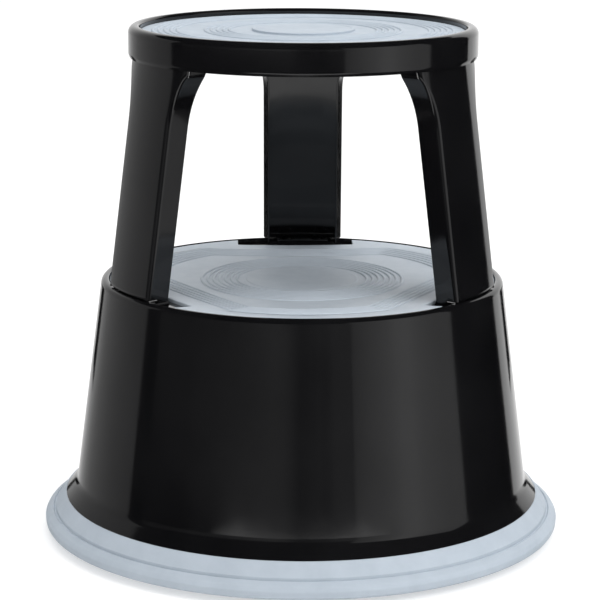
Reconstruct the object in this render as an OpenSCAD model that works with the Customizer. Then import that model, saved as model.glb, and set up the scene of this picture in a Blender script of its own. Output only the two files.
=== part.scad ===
// Two-step kick stool: a pressed steel drum with a mat on top, three channel
// legs that carry a round top step, a rubber ring round the foot, and three
// sprung swivel castors inside the drum. Unloaded it rolls on the castors;
// under a person's weight they sink in and the ring grips the floor.
// +Z is up, the origin is on the floor under the centre, millimetres.

/* [Overall] */
// Height of the top step's rim above the floor
stool_h = 430; // [350:1:520]
// Outer diameter of the top step
cap_d = 290; // [240:1:350]
// Outer diameter of the rubber ring at the foot
base_d = 440; // [365:1:530]
// Height of the lower step's rim above the floor
step_h = 218; // [180:1:265]

/* [Steel sheet] */
// Thickness of the top step's and the drum's sheet
sheet_t = 1.2; // [0.8:0.1:1.6]
// Thickness of the legs' sheet
leg_t = 1.5; // [1:0.1:2]

/* [Top step] */
// Height of the skirt round the top step
skirt_h = 26; // [20:0.5:36]
// Radius of the skirt's rounded top edge
skirt_edge_r = 6; // [4:0.5:8]
// Width of the steel rim round the top mat
cap_rim_w = 9.5; // [8:0.1:14]
// Depth of the mat's seat below the rim
cap_recess = 8; // [6:0.1:10]

/* [Drum] */
// Sideways lean of the drum's wall for each millimetre of height
drum_taper = 0.13; // [0.08:0.005:0.18]
// Radius of the drum's rounded shoulder
shoulder_r = 5; // [4:0.5:8]
// Width of the lip between the shoulder's crest and the mat's seat
lip_w = 2; // [1.8:0.1:4]
// Height of the crease where the wall flares out to the ring
crease_z = 43.3; // [36:0.1:52]
// Depth of the drum's top plate below its rim, at the middle
plate_drop = 6.5; // [5.5:0.1:9]
// Height that the top plate climbs from its flat middle to the lip
plate_rise = 3.1; // [0:0.1:3.5]
// Width of the climbing band of the top plate
plate_band = 57; // [40:1:65]

/* [Legs] */
// Width across a leg's flat flanges
leg_w = 72; // [60:1:87]
// Depth of a leg's flanges
leg_depth = 21.5; // [17:0.5:26]
// Distance that each side of a leg spreads at the top
flare_w = 12.5; // [10:0.5:21]
// Radius of the curve by which it spreads
flare_r = 80; // [60:1:100]
// Distance of a leg's face inside the drum's wall line
leg_setback = 1.8; // [1.5:0.1:5]
// Length of the tabs folded in at a leg's two ends
tab_l = 20; // [18:0.5:24]

/* [Mats] */
// Thickness of both mats
mat_t = 3; // [2:0.1:4]
// Height of the tread ribs
rib_h = 0.8; // [0.4:0.1:1.5]
// Width of a tread rib
rib_w = 2.2; // [1.2:0.1:3]
// Spacing of the tread ribs
rib_pitch = 5; // [3.5:0.1:6]
// Radius of the top mat's raised disc
cap_disc_r = 42.6; // [30:0.1:52]
// Height of the top mat's raised disc
cap_disc_h = 2; // [0.5:0.1:3]
// Radius of the lower mat's raised disc
step_disc_r = 47.5; // [30:0.1:52]
// Height of the lower mat's raised disc
step_disc_h = 0.6; // [0.3:0.1:2]
// Width of the cut-outs in the lower mat for the legs
notch_w = 104; // [92:1:118]
// Distance of a cut-out's inner edge inside the lip
notch_depth = 26; // [20:0.5:34]
// Angle that the lower mat is laid off the legs
mat_turn = 2.5; // [0:0.1:4]

/* [Foot ring] */
// Height of the ring's underside above the floor while the castors stand out
ring_gap = 5.5; // [4:0.1:7]
// Height of the ring above its underside
ring_h = 26; // [22:0.5:32]
// Width of the ring
ring_w = 23.5; // [21:0.5:30]

/* [Castors] */
// Radius of a wheel
wheel_r = 25; // [20:0.5:30]
// Width of a wheel
wheel_w = 18; // [14:0.5:22]
// Thickness of a wheel's tyre
tyre_t = 4; // [3:0.5:6]
// Distance of the axle behind the swivel
trail = 14; // [8:0.5:18]
// Distance of a castor's centre inside the drum's lip
castor_inset = 25; // [22:0.5:32]
// Radius of the sliding stem
stem_r = 6; // [5:0.1:7]
// Travel of a castor up into the drum
castor_travel = 8; // [7:0.5:12]
// Room left between the spring's turns once the castor is fully in
spring_slack = 20.2; // [12:0.1:26]
// Diameter of the spring's wire
wire_d = 2.4; // [1.6:0.1:3]
// Turns of the spring
spring_turns = 8; // [6:1:10]
// Thickness of a castor's bracket
bracket_t = 2; // [1.5:0.1:3]
// Width of a bracket between its two walls
bracket_w = 56; // [48:1:62]

/* [Fasteners] */
// Radius of the bolts, studs and nut threads
bolt_r = 3; // [2.5:0.1:3.5]
// Clearance of a bolt in its hole
hole_gap = 0.4; // [0.2:0.1:0.8]
// Clearance of a thread in its nut
thread_gap = 0.05; // [0.02:0.01:0.1]
// Clearance of a shaft that turns or slides in its bore
running_gap = 0.06; // [0.03:0.01:0.1]

/* [Hidden] */
$fn = 96;

// Directions of the three legs and of the three castors between them
LEG_ANGLES = [90, 210, 330];
RIGHT = 30;
LEFT = 150;
FRONT = 270;

steel = [0.05, 0.05, 0.055];
mat_grey = [0.66, 0.7, 0.74];
zinc = [0.72, 0.73, 0.74];
nylon = [0.85, 0.84, 0.8];
dark_rubber = [0.2, 0.2, 0.21];

// ---------- shared outlines ----------

ARC_STEPS = 6;

// Points along an arc, from angle a0 to a1
function arc(c, r, a0, a1) = [
    for (i = [0 : ARC_STEPS])
        let (a = a0 + (a1 - a0) * i / ARC_STEPS)
        c + r * [cos(a), sin(a)]
];

// Unit vector to the left of the way from a to b
function left_of(a, b) = let (d = (b - a) / norm(b - a)) [-d[1], d[0]];

// Point i of line p moved sideways by t, mitred between its two neighbours
function beside(p, i, t) =
    i == 0 ? p[0] + t * left_of(p[0], p[1])
    : i == len(p) - 1 ? p[i] + t * left_of(p[i - 1], p[i])
    : let (n0 = left_of(p[i - 1], p[i]), n1 = left_of(p[i], p[i + 1]))
        p[i] + t * (n0 + n1) / (1 + n0 * n1);

// Closed outline of a sheet whose face is line p, t thick to its left
function sheet(p, t) = concat(p, [for (i = [len(p) - 1 : -1 : 0]) beside(p, i, t)]);

// ---------- derived sizes: top step ----------

cap_r = cap_d / 2;
skirt_z = stool_h - skirt_h;
cap_seat_z = stool_h - cap_recess;
cap_under_z = cap_seat_z - sheet_t;
cap_seat_r = cap_r - cap_rim_w;
// Radius of the bend between the top step's rim and the mat's seat
rim_bend = 2.5;
// Height and inward step of the curl along the skirt's lower edge
curl_h = 3;
curl_in = 0.9;

cap_line = concat(
    [[cap_r - curl_in, skirt_z], [cap_r, skirt_z + curl_h]],
    arc([cap_r - skirt_edge_r, stool_h - skirt_edge_r], skirt_edge_r, 0, 90),
    arc([cap_seat_r + rim_bend, stool_h - rim_bend], rim_bend, 90, 180),
    [[cap_seat_r, cap_seat_z], [0, cap_seat_z]]
);

// ---------- derived sizes: drum and ring ----------

base_r = base_d / 2;
// Distances of the crease and of the hem inside the ring's outer edge
crease_in = 27.9;
hem_in = 15.5;
// Heights of the hem's top bend and of its lower edge
hem_top_z = 28.9;
hem_z = 13;
crease_r = base_r - crease_in;
hem_r = base_r - hem_in;
lean = atan(drum_taper);
shoulder_z = step_h - shoulder_r;
function drum_wall_r(z) = crease_r - drum_taper * (z - crease_z);
crest_r = drum_wall_r(shoulder_z + shoulder_r * sin(lean)) - shoulder_r * cos(lean);
lip_r = crest_r - lip_w;
lip_bend = 1.7;
plate_z = step_h - plate_drop;
plate_edge_z = plate_z + plate_rise;
plate_flat_r = lip_r - plate_band;

drum_line = concat(
    [[hem_r, hem_z], [hem_r, hem_top_z], [crease_r, crease_z]],
    arc([crest_r, shoulder_z], shoulder_r, lean, 90),
    arc([lip_r + lip_bend, step_h - lip_bend], lip_bend, 90, 180),
    [[lip_r, plate_edge_z], [plate_flat_r, plate_z], [0, plate_z]]
);

// Slope of the plate's climbing band, and the upright thickness of the sheet there
plate_slope = plate_rise / plate_band;
plate_upright_t = sheet_t / cos(atan(plate_slope));
function plate_top(r) = plate_z + max(0, r - plate_flat_r) * plate_slope;

// ---------- derived sizes: legs ----------

// Gap between the skirt's inside and a leg's face
skirt_gap = 1;
leg_top_r = cap_r - sheet_t - skirt_gap;
leg_foot_r = drum_wall_r(step_h) - leg_setback;
leg_slope = (leg_foot_r - leg_top_r) / (skirt_z - step_h);
function leg_face_r(z) = leg_top_r + leg_slope * (skirt_z - z);
flare_top_z = skirt_z - 5;
flare_z = flare_top_z - sqrt(flare_r * flare_r - (flare_r - flare_w) * (flare_r - flare_w));
function leg_half_w(z) = leg_w / 2 + (
    z <= flare_z ? 0
    : z >= flare_top_z ? flare_w
    : flare_r - sqrt(flare_r * flare_r - (z - flare_z) * (z - flare_z))
);
// Direction in which the flanges point, measured from the leg's middle
flange_angle = asin(leg_w / (leg_foot_r + leg_top_r));
fold_r = 4;
// Lowest point of a flange, down in the mat's cut-out
flange_foot_z = step_h - 2;
// Width of the slit behind a leg's bend, at the head, and of the strip of flange left outside it
slit_w = 2;
slit_edge = 0.5;
slit_z = flare_top_z - 0.6;
FLARE_STEPS = 10;
leg_heights = concat(
    [flange_foot_z - 1],
    [for (i = [0 : FLARE_STEPS]) flare_z + (flare_top_z - flare_z) * i / FLARE_STEPS],
    [cap_under_z]
);
// Sideways place of a leg's edge, seen square to its flange
function edge_side(z) =
    let (w = leg_half_w(z), r = leg_face_r(z))
    w * cos(flange_angle) - sqrt(r * r - w * w) * sin(flange_angle);

foot_tab_w = leg_w - 12;
cap_tab_w = leg_w + 8;
foot_bolt_side = leg_w / 4 - 4;
cap_bolt_side = leg_w / 4 + 2;
foot_bolt_r = leg_foot_r - tab_l * 0.7;
cap_bolt_r = leg_face_r(cap_under_z) - tab_l * 0.7;
nut_h = 5;
nut_flat = bolt_r * 3.33;
nut_flange_w = 0.8;
nut_flange_h = 1.2;
// Length of a stud or screw past its nut
thread_end = 3;

// ---------- derived sizes: castors, from the floor up ----------

fork_t = 2.5;
fork_gap = 1.2;
axle_r = 4;
axle_z = wheel_r;
fork_plate_z = 2 * wheel_r + 3;
spigot_r = 5;
rivet_r = 8;
rivet_h = 2;
rivet_gap = 0.2;
washer_r = 11;
washer_t = 1.5;
washer_gap = 0.1;
washer_z = fork_plate_z + fork_t + washer_gap;
collar_r = 13;
collar_t = 3;
collar_z = washer_z + washer_t;
spring_z = collar_z + collar_t;
spring_h = castor_travel + spring_turns * wire_d + spring_slack;
flange_t = 2.5;
web_z = spring_z + spring_h + flange_t;
bush_r = stem_r + 3;
bush_flange_r = 14;
bush_top_z = web_z + bracket_t + 18;
clip_t = 1.2;
clip_r = stem_r + 3.5;
stem_top_z = bush_top_z + 4;
spring_r = stem_r + 3.5;
castor_r = lip_r - castor_inset;
bracket_depth = 34;
bracket_foot_w = 18;
bracket_stud_side = bracket_w / 2 + 10;

// ---------- small helpers ----------

// A ring or disc with a hole down its middle
module tube(r, bore, h) {
    difference() {
        cylinder(r = r, h = h);
        translate([0, 0, -1]) cylinder(r = bore, h = h + 2);
    }
}

module hex_nut() {
    difference() {
        union() {
            cylinder(r = nut_flat / sqrt(3), h = nut_h, $fn = 6);
            cylinder(r = nut_flat / sqrt(3) + nut_flange_w, h = nut_flange_h);
        }
        translate([0, 0, -1]) cylinder(r = bolt_r + thread_gap, h = nut_h + 2);
    }
}

// Everything below the underside of the drum's plate, lowered by d
module under_plate(d) {
    low = plate_z - 120;
    far = lip_r + 8;
    rotate_extrude() polygon([
        [0, low], [far, low], [far, plate_top(far) - plate_upright_t - d],
        [plate_flat_r, plate_z - plate_upright_t - d], [0, plate_z - plate_upright_t - d]
    ]);
}

// Children once at each leg, with the leg's middle towards +X
module at_legs() {
    for (a = LEG_ANGLES) rotate(a) children();
}

// The two bolt places of a leg, at radius r and at s to each side
module at_bolt_pair(r, s) {
    for (side = [-s, s]) translate([r, side, 0]) children();
}

// ---------- top step ----------

module top_step_cap() color(steel) rotate_extrude() polygon(sheet(cap_line, sheet_t));

// Depth that a rib reaches into its mat, which makes the two one piece
rib_root = 0.1;
// Film of glue that holds a mat to the steel
glue_t = 0.05;

// Raised tread ribs from radius r0 outward, n of them, on a surface at height z
module ring_ribs(r0, n, z) {
    for (i = [0 : n - 1])
        translate([0, 0, z - rib_root])
            tube(r0 + i * rib_pitch + rib_w, r0 + i * rib_pitch, rib_h + rib_root);
}

cap_mat_r = cap_seat_r - 0.2;
cap_mat_top = cap_seat_z + mat_t;
cap_ribs = 5;
// Widths of the plain ring round the raised disc and of the border with its ribs
cap_plain_w = 17.5;
cap_border_w = 32;

module top_step_mat() color(mat_grey) {
    translate([0, 0, cap_seat_z + glue_t]) {
        cylinder(r = cap_mat_r, h = mat_t - glue_t);
        cylinder(r = cap_disc_r, h = mat_t + cap_disc_h - glue_t);
    }
    ring_ribs(cap_disc_r + cap_plain_w, cap_ribs, cap_mat_top);
    ring_ribs(cap_mat_r - cap_border_w, cap_ribs, cap_mat_top);
}

// Studs welded under the top step's plate, two for each leg
module cap_weld_studs() color(zinc) {
    stud_h = leg_t + nut_h + thread_end;
    at_legs() at_bolt_pair(cap_bolt_r, cap_bolt_side)
        translate([0, 0, cap_under_z - stud_h]) cylinder(r = bolt_r, h = stud_h);
}

module cap_flange_nuts() color(zinc) {
    at_legs() at_bolt_pair(cap_bolt_r, cap_bolt_side)
        translate([0, 0, cap_under_z - leg_t]) mirror([0, 0, 1]) hex_nut();
}

// ---------- legs ----------

// Face, foot tab and head tab of a leg, swept right round the stool's axis
leg_line = concat(
    [[leg_face_r(cap_under_z) - tab_l - 2, cap_under_z]],
    arc([leg_face_r(cap_under_z - fold_r) - fold_r, cap_under_z - fold_r], fold_r, 90, 0),
    arc([leg_face_r(step_h + fold_r) - fold_r, step_h + fold_r], fold_r, 0, -90),
    [[leg_foot_r - tab_l - 1, step_h]]
);

// A block of width w about a leg's middle, from z0 to z1
module leg_slab(w, z0, z1) {
    translate([cap_r / 2, -w / 2, z0]) cube([base_r, w, z1 - z0]);
}

// What lies between line a and line b beside a leg, both given as sideways places
module beside_leg(a, b) {
    rotate(flange_angle) rotate([90, 0, 90]) linear_extrude(base_r)
        polygon(concat(
            [for (z = leg_heights) [b + edge_side(z), z]],
            [for (i = [len(leg_heights) - 1 : -1 : 0])
                [a + edge_side(leg_heights[i]), leg_heights[i]]]
        ));
}

// The band that the flanges fill, from a leg's face inward
module flange_band(inner, outer, z0, z1) {
    rotate_extrude() polygon([
        [leg_face_r(z0) - outer, z0], [leg_face_r(z0) - inner, z0],
        [leg_face_r(z1) - inner, z1], [leg_face_r(z1) - outer, z1]
    ]);
}

module leg_flange() {
    difference() {
        intersection() {
            beside_leg(-leg_t, 0);
            flange_band(0, leg_depth, flange_foot_z, cap_under_z - leg_t);
        }
        // relief at the foot, clear of the drum's lip
        rotate_extrude() translate([lip_r - 1.5, flange_foot_z - 1])
            square([40, step_h - flange_foot_z + 3]);
        // relief slit at the head, behind the bend
        flange_band(leg_t + slit_edge, leg_t + slit_edge + slit_w, slit_z, cap_under_z + 1);
    }
}

module leg() color(steel) {
    reach = 2 * base_r;
    difference() {
        union() {
            intersection() {
                rotate_extrude() polygon(sheet(leg_line, -leg_t));
                beside_leg(-reach, 0);
                mirror([0, 1, 0]) beside_leg(-reach, 0);
                union() {
                    leg_slab(reach, step_h + 1, cap_under_z - fold_r);
                    leg_slab(foot_tab_w, step_h, step_h + 10);
                    leg_slab(cap_tab_w, cap_under_z - 10, cap_under_z);
                }
            }
            leg_flange();
            mirror([0, 1, 0]) leg_flange();
        }
        at_bolt_pair(foot_bolt_r, foot_bolt_side)
            translate([0, 0, step_h - 2]) cylinder(r = bolt_r + hole_gap, h = leg_t + 4);
        at_bolt_pair(cap_bolt_r, cap_bolt_side)
            translate([0, 0, cap_under_z - leg_t - 2]) cylinder(r = bolt_r + hole_gap, h = leg_t + 4);
    }
}

module leg_back() rotate(LEG_ANGLES[0]) leg();
module leg_front_left() rotate(LEG_ANGLES[1]) leg();
module leg_front_right() rotate(LEG_ANGLES[2]) leg();

// ---------- drum, lower mat and foot ring ----------

// Half angles of a raised seat under a leg's foot, outside and inside
seat_angle = asin((foot_tab_w / 2 + 2) / (leg_foot_r - 5));
seat_skin_angle = seat_angle - asin(sheet_t / foot_bolt_r);
seat_in_r = leg_foot_r - tab_l - 3;

module drum_section() polygon(sheet(drum_line, sheet_t));

// A sector of the plate's border, half angle a, from radius r0 to r1, z0 to z1
module seat_block(a, r0, r1, z0, z1) {
    rotate(-a) rotate_extrude(angle = 2 * a) translate([r0, z0]) square([r1 - r0, z1 - z0]);
}

module drum_shell() color(steel) difference() {
    union() {
        rotate_extrude() drum_section();
        at_legs() seat_block(seat_angle, seat_in_r, lip_r + 0.4, plate_z + 0.5, step_h);
    }
    at_legs() {
        seat_block(
            seat_skin_angle, seat_in_r + sheet_t, lip_r - 0.2, plate_z - 10, step_h - sheet_t
        );
        at_bolt_pair(foot_bolt_r, foot_bolt_side)
            translate([0, 0, plate_z - 10]) cylinder(r = bolt_r + hole_gap, h = plate_drop + 12);
    }
}

step_mat_r = lip_r - 0.8;
function step_mat_edge(d) = [step_mat_r, plate_top(step_mat_r) + d];

// The layer on the drum's plate between heights a and b above it
module plate_layer(a, b) {
    rotate_extrude() polygon([
        [0, plate_z + a], [plate_flat_r, plate_z + a], step_mat_edge(a),
        step_mat_edge(b), [plate_flat_r, plate_z + b], [0, plate_z + b]
    ]);
}

// The lower mat's outline, drawn in by d on its arcs and straight edges
module mat_outline(d) {
    half = (notch_w / 2) - d / 3;
    intersection() {
        circle(r = step_mat_r - d);
        difference() {
            circle(r = base_r);
            at_legs() translate([lip_r - notch_depth - d, -half - d]) square([base_r, 2 * (half + d)]);
        }
    }
}

step_rings = 7;
step_plain_w = 6;
border_ribs = 5;
border_w = 18;

module lower_step_mat() color(mat_grey) rotate(mat_turn) {
    intersection() {
        union() {
            plate_layer(glue_t, mat_t);
            translate([0, 0, plate_z + glue_t])
                cylinder(r = step_disc_r, h = mat_t + step_disc_h - glue_t);
            ring_ribs(step_disc_r + step_plain_w, step_rings, plate_z + mat_t);
        }
        translate([0, 0, plate_z - 1]) linear_extrude(20) mat_outline(0);
    }
    intersection() {
        plate_layer(mat_t - rib_root, mat_t + rib_h);
        translate([0, 0, plate_z]) linear_extrude(20)
            for (i = [0 : border_ribs - 1]) difference() {
                mat_outline(border_w + i * rib_pitch);
                mat_outline(border_w + i * rib_pitch + rib_w);
            }
    }
}

ring_top_z = ring_gap + ring_h;
// Radius of the ring's rolled outer edge
ring_roll = 5.5;
module ring_section() polygon(concat(
    [[base_r - 19, ring_top_z + 0.7], [base_r - 17.5, ring_top_z + 0.7]],
    [[base_r - 8.8, ring_gap + 15.4]],
    [[base_r - 9.1, ring_gap + 14.2], [base_r - 7.8, ring_gap + 13.8]],
    [[base_r - 3, ring_gap + 10.6]],
    arc([base_r - ring_roll, ring_gap + ring_roll], ring_roll, 25, -90),
    [[base_r - ring_w + 2.5, ring_gap], [base_r - ring_w, ring_gap + 2.5]],
    [[base_r - ring_w + 0.8, ring_gap + 19], [base_r - 18.4, ring_gap + 21.5]]
));

module base_ring() color(mat_grey) rotate_extrude() difference() {
    ring_section();
    drum_section();
}

// Button-headed screws through the leg feet, and their nuts inside the drum
screw_head_h = 2;
module foot_screws() color(zinc) at_legs() at_bolt_pair(foot_bolt_r, foot_bolt_side) {
    translate([0, 0, step_h - sheet_t - nut_h - thread_end])
        cylinder(r = bolt_r, h = leg_t + sheet_t + nut_h + thread_end + screw_head_h / 2);
    translate([0, 0, step_h + leg_t]) cylinder(r1 = bolt_r * 1.75, r2 = bolt_r * 1.1, h = screw_head_h);
}

module foot_nuts() color(zinc) {
    at_legs() at_bolt_pair(foot_bolt_r, foot_bolt_side)
        translate([0, 0, step_h - sheet_t]) mirror([0, 0, 1]) hex_nut();
}

// ---------- castors ----------

// A bracket's two stud places, in the castor's own frame
module at_bracket_studs() {
    for (side = [-1, 1]) translate([castor_r, side * bracket_stud_side, 0]) children();
}

module bracket() color(zinc) difference() {
    union() {
        translate([castor_r - bracket_depth / 2, -bracket_w / 2, web_z])
            cube([bracket_depth, bracket_w, bracket_t]);
        intersection() {
            under_plate(0);
            for (side = [0, 1]) mirror([0, side, 0])
                translate([castor_r - bracket_depth / 2, bracket_w / 2 - bracket_t, web_z])
                    cube([bracket_depth, bracket_t, step_h]);
        }
        difference() {
            intersection() {
                under_plate(0);
                for (side = [0, 1]) mirror([0, side, 0])
                    translate([castor_r - bracket_depth / 2, bracket_w / 2 - bracket_t, web_z])
                        cube([bracket_depth, bracket_foot_w + bracket_t, step_h]);
            }
            under_plate(bracket_t);
        }
    }
    translate([castor_r, 0, web_z - 1]) cylinder(r = bush_r, h = bracket_t + 2);
    at_bracket_studs()
        translate([0, 0, plate_z - 20]) cylinder(r = bolt_r + hole_gap, h = 40);
}

module bracket_weld_studs() color(zinc) for (a = [RIGHT, LEFT, FRONT]) rotate(a)
    intersection() {
        under_plate(0);
        at_bracket_studs() translate([0, 0, bracket_nut_z - nut_h - thread_end])
            cylinder(r = bolt_r, h = step_h - bracket_nut_z + nut_h + thread_end);
    }

// Height of a nut's seat under the sloping foot of a bracket
bracket_nut_z = plate_top(castor_r - nut_flat) - sheet_t - bracket_t;

module bracket_nuts() color(zinc) for (a = [RIGHT, LEFT, FRONT]) rotate(a)
    at_bracket_studs() translate([0, 0, bracket_nut_z]) mirror([0, 0, 1]) hex_nut();

module guide_bush() color(nylon) translate([castor_r, 0, 0]) difference() {
    union() {
        translate([0, 0, web_z - flange_t]) cylinder(r = bush_flange_r, h = flange_t);
        translate([0, 0, web_z]) cylinder(r = bush_r, h = bush_top_z - web_z);
    }
    translate([0, 0, web_z - flange_t - 1])
        cylinder(r = stem_r + running_gap, h = bush_top_z - web_z + flange_t + 2);
}

// Groove in the stem that holds the clip
groove_r = stem_r - 1;

module stem() color(zinc) translate([castor_r, 0, 0]) difference() {
    union() {
        translate([0, 0, fork_plate_z - rivet_gap - rivet_h]) cylinder(r = rivet_r, h = rivet_h);
        translate([0, 0, fork_plate_z - rivet_gap]) cylinder(r = spigot_r, h = collar_z - fork_plate_z + 1);
        translate([0, 0, collar_z]) cylinder(r = collar_r, h = collar_t);
        translate([0, 0, collar_z]) cylinder(r = stem_r, h = stem_top_z - collar_z);
    }
    translate([0, 0, bush_top_z]) tube(stem_r + 1, groove_r, clip_t);
}

// E-clip: an open ring in the stem's groove
module stem_clip() color(zinc) translate([castor_r, 0, bush_top_z]) difference() {
    tube(clip_r, groove_r, clip_t);
    translate([0, -groove_r * 0.8, -1]) cube([2 * clip_r, groove_r * 1.6, clip_t + 2]);
}

module thrust_washer() color(nylon)
    translate([castor_r, 0, washer_z]) tube(washer_r, spigot_r + running_gap, washer_t);

// A round wire wound from height 0 to h; the first and last turns lie close
WIRE_SIDES = 8;
TURN_STEPS = 16;
close_turns = 1;
function coil_z(u, h) =
    let (
        low = wire_d / 2,
        open_h = h - wire_d - 2 * close_turns * wire_d,
        open_turns = spring_turns - 2 * close_turns,
        v = min(max(u - close_turns, 0), open_turns)
    )
    low + (min(u, close_turns) + max(u - close_turns - open_turns, 0)) * wire_d
        + v / open_turns * open_h;

module coil(h) {
    rings = spring_turns * TURN_STEPS;
    wire_r = wire_d / 2 - 0.05;
    points = [
        for (i = [0 : rings], j = [0 : WIRE_SIDES - 1])
            let (u = i / TURN_STEPS, a = 360 * u, b = 360 * j / WIRE_SIDES, r = spring_r + wire_r * cos(b))
            [r * cos(a), r * sin(a), coil_z(u, h) + wire_r * sin(b)]
    ];
    faces = concat(
        [[for (j = [0 : WIRE_SIDES - 1]) j]],
        [for (i = [0 : rings - 1], j = [0 : WIRE_SIDES - 1])
            let (k = (j + 1) % WIRE_SIDES, n = WIRE_SIDES)
            [i * n + j, i * n + n + j, i * n + n + k, i * n + k]],
        [[for (j = [WIRE_SIDES - 1 : -1 : 0]) rings * WIRE_SIDES + j]]
    );
    polyhedron(points, faces, convexity = 10);
}

module spring() color(zinc) translate([castor_r, 0, spring_z]) coil(spring_h);

// Half width across a fork, inside and outside its two cheeks
cheek_in = wheel_w / 2 + fork_gap;
cheek_out = cheek_in + fork_t;
// Reach of the fork's crown behind the axle and ahead of the swivel
crown_back = trail + 9;
crown_front = washer_r + 1;
crown_lip = 4;

module fork() color(zinc) translate([castor_r, 0, 0]) difference() {
    union() {
        translate([-cheek_out, -crown_back, fork_plate_z])
            cube([2 * cheek_out, crown_back + crown_front, fork_t]);
        for (side = [0, 1]) mirror([side, 0, 0])
            translate([cheek_in, 0, 0]) rotate([90, 0, 90]) linear_extrude(fork_t) {
                translate([-trail, axle_z]) circle(r = 2 * axle_r);
                polygon([
                    [-crown_back, fork_plate_z + fork_t], [crown_front, fork_plate_z + fork_t],
                    [crown_front, fork_plate_z - crown_lip], [-trail + 2 * axle_r, axle_z],
                    [-trail - 2 * axle_r, axle_z]
                ]);
            }
    }
    translate([0, 0, fork_plate_z - 1]) cylinder(r = spigot_r + running_gap, h = fork_t + 2);
    translate([-cheek_out - 1, -trail, axle_z]) rotate([0, 90, 0])
        cylinder(r = axle_r, h = 2 * cheek_out + 2);
}

module axle() color(zinc) translate([castor_r, -trail, axle_z]) rotate([0, 90, 0]) {
    translate([0, 0, -cheek_out]) cylinder(r = axle_r, h = 2 * cheek_out);
    for (side = [0, 1]) mirror([0, 0, side])
        translate([0, 0, cheek_out]) cylinder(r1 = axle_r + 2, r2 = axle_r + 1, h = 1.5);
}

hub_r = 9;
hub_half_w = wheel_w / 2 + fork_gap - 0.3;
core_r = wheel_r - tyre_t;
web_half_w = 2.5;

module wheel_core() color(dark_rubber)
    translate([castor_r, -trail, axle_z]) rotate([0, 90, 0]) rotate_extrude() polygon([
        [axle_r + running_gap, -hub_half_w], [hub_r, -hub_half_w], [hub_r + 1.5, -web_half_w],
        [core_r - 3, -web_half_w], [core_r - 2, -wheel_w / 2 + 1], [core_r, -wheel_w / 2 + 1],
        [core_r, wheel_w / 2 - 1], [core_r - 2, wheel_w / 2 - 1], [core_r - 3, web_half_w],
        [hub_r + 1.5, web_half_w], [hub_r, hub_half_w], [axle_r + running_gap, hub_half_w]
    ]);

tread_r = 3;
module tyre() color(mat_grey)
    translate([castor_r, -trail, axle_z]) rotate([0, 90, 0]) rotate_extrude() polygon(concat(
        [[core_r, wheel_w / 2], [core_r, -wheel_w / 2]],
        arc([wheel_r - tread_r, -wheel_w / 2 + tread_r], tread_r, -90, 0),
        arc([wheel_r - tread_r, wheel_w / 2 - tread_r], tread_r, 0, 90)
    ));

top_step_cap();
top_step_mat();
leg_back();
leg_front_left();
leg_front_right();
cap_weld_studs();
cap_flange_nuts();
drum_shell();
lower_step_mat();
base_ring();
foot_screws();
foot_nuts();
bracket_weld_studs();
bracket_nuts();
rotate(RIGHT) bracket();  // bracket_right
rotate(LEFT) bracket();  // bracket_left
rotate(FRONT) bracket();  // bracket_front
rotate(RIGHT) guide_bush();  // guide_bush_right
rotate(LEFT) guide_bush();  // guide_bush_left
rotate(FRONT) guide_bush();  // guide_bush_front
rotate(RIGHT) stem();  // stem_right
rotate(LEFT) stem();  // stem_left
rotate(FRONT) stem();  // stem_front
rotate(RIGHT) spring();  // spring_right
rotate(LEFT) spring();  // spring_left
rotate(FRONT) spring();  // spring_front
rotate(RIGHT) thrust_washer();  // thrust_washer_right
rotate(LEFT) thrust_washer();  // thrust_washer_left
rotate(FRONT) thrust_washer();  // thrust_washer_front
rotate(RIGHT) stem_clip();  // stem_clip_right
rotate(LEFT) stem_clip();  // stem_clip_left
rotate(FRONT) stem_clip();  // stem_clip_front
rotate(RIGHT) fork();  // fork_right
rotate(LEFT) fork();  // fork_left
rotate(FRONT) fork();  // fork_front
rotate(RIGHT) axle();  // axle_right
rotate(LEFT) axle();  // axle_left
rotate(FRONT) axle();  // axle_front
rotate(RIGHT) wheel_core();  // wheel_core_right
rotate(LEFT) wheel_core();  // wheel_core_left
rotate(FRONT) wheel_core();  // wheel_core_front
rotate(RIGHT) tyre();  // tyre_right
rotate(LEFT) tyre();  // tyre_left
rotate(FRONT) tyre();  // tyre_front
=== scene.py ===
"""Two-step kick stool: pressed steel drum, three channel legs, round top step, rubber mats and
foot ring, and three sprung castors inside the drum. Metres, +Z up, origin on the floor."""
import math

import bmesh
import bpy
from mathutils import Matrix, Vector


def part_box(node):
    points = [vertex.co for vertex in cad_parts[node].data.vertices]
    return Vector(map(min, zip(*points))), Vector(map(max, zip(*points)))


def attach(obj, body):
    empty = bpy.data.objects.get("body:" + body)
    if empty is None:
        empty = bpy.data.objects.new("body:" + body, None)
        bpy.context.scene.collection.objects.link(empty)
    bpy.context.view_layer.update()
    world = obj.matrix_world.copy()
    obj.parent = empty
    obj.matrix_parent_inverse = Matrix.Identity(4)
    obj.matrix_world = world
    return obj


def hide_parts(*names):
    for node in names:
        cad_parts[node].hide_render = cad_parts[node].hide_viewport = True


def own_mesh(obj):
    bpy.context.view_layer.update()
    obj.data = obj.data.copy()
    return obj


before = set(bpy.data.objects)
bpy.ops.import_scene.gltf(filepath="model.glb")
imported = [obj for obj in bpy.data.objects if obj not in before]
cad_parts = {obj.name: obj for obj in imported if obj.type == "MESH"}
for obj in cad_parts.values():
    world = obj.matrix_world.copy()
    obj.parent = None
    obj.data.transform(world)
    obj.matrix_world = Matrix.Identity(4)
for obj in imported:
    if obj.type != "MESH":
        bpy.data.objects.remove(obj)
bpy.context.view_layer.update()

# ---------- sizes: read from the CAD parts in model.glb ---

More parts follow.
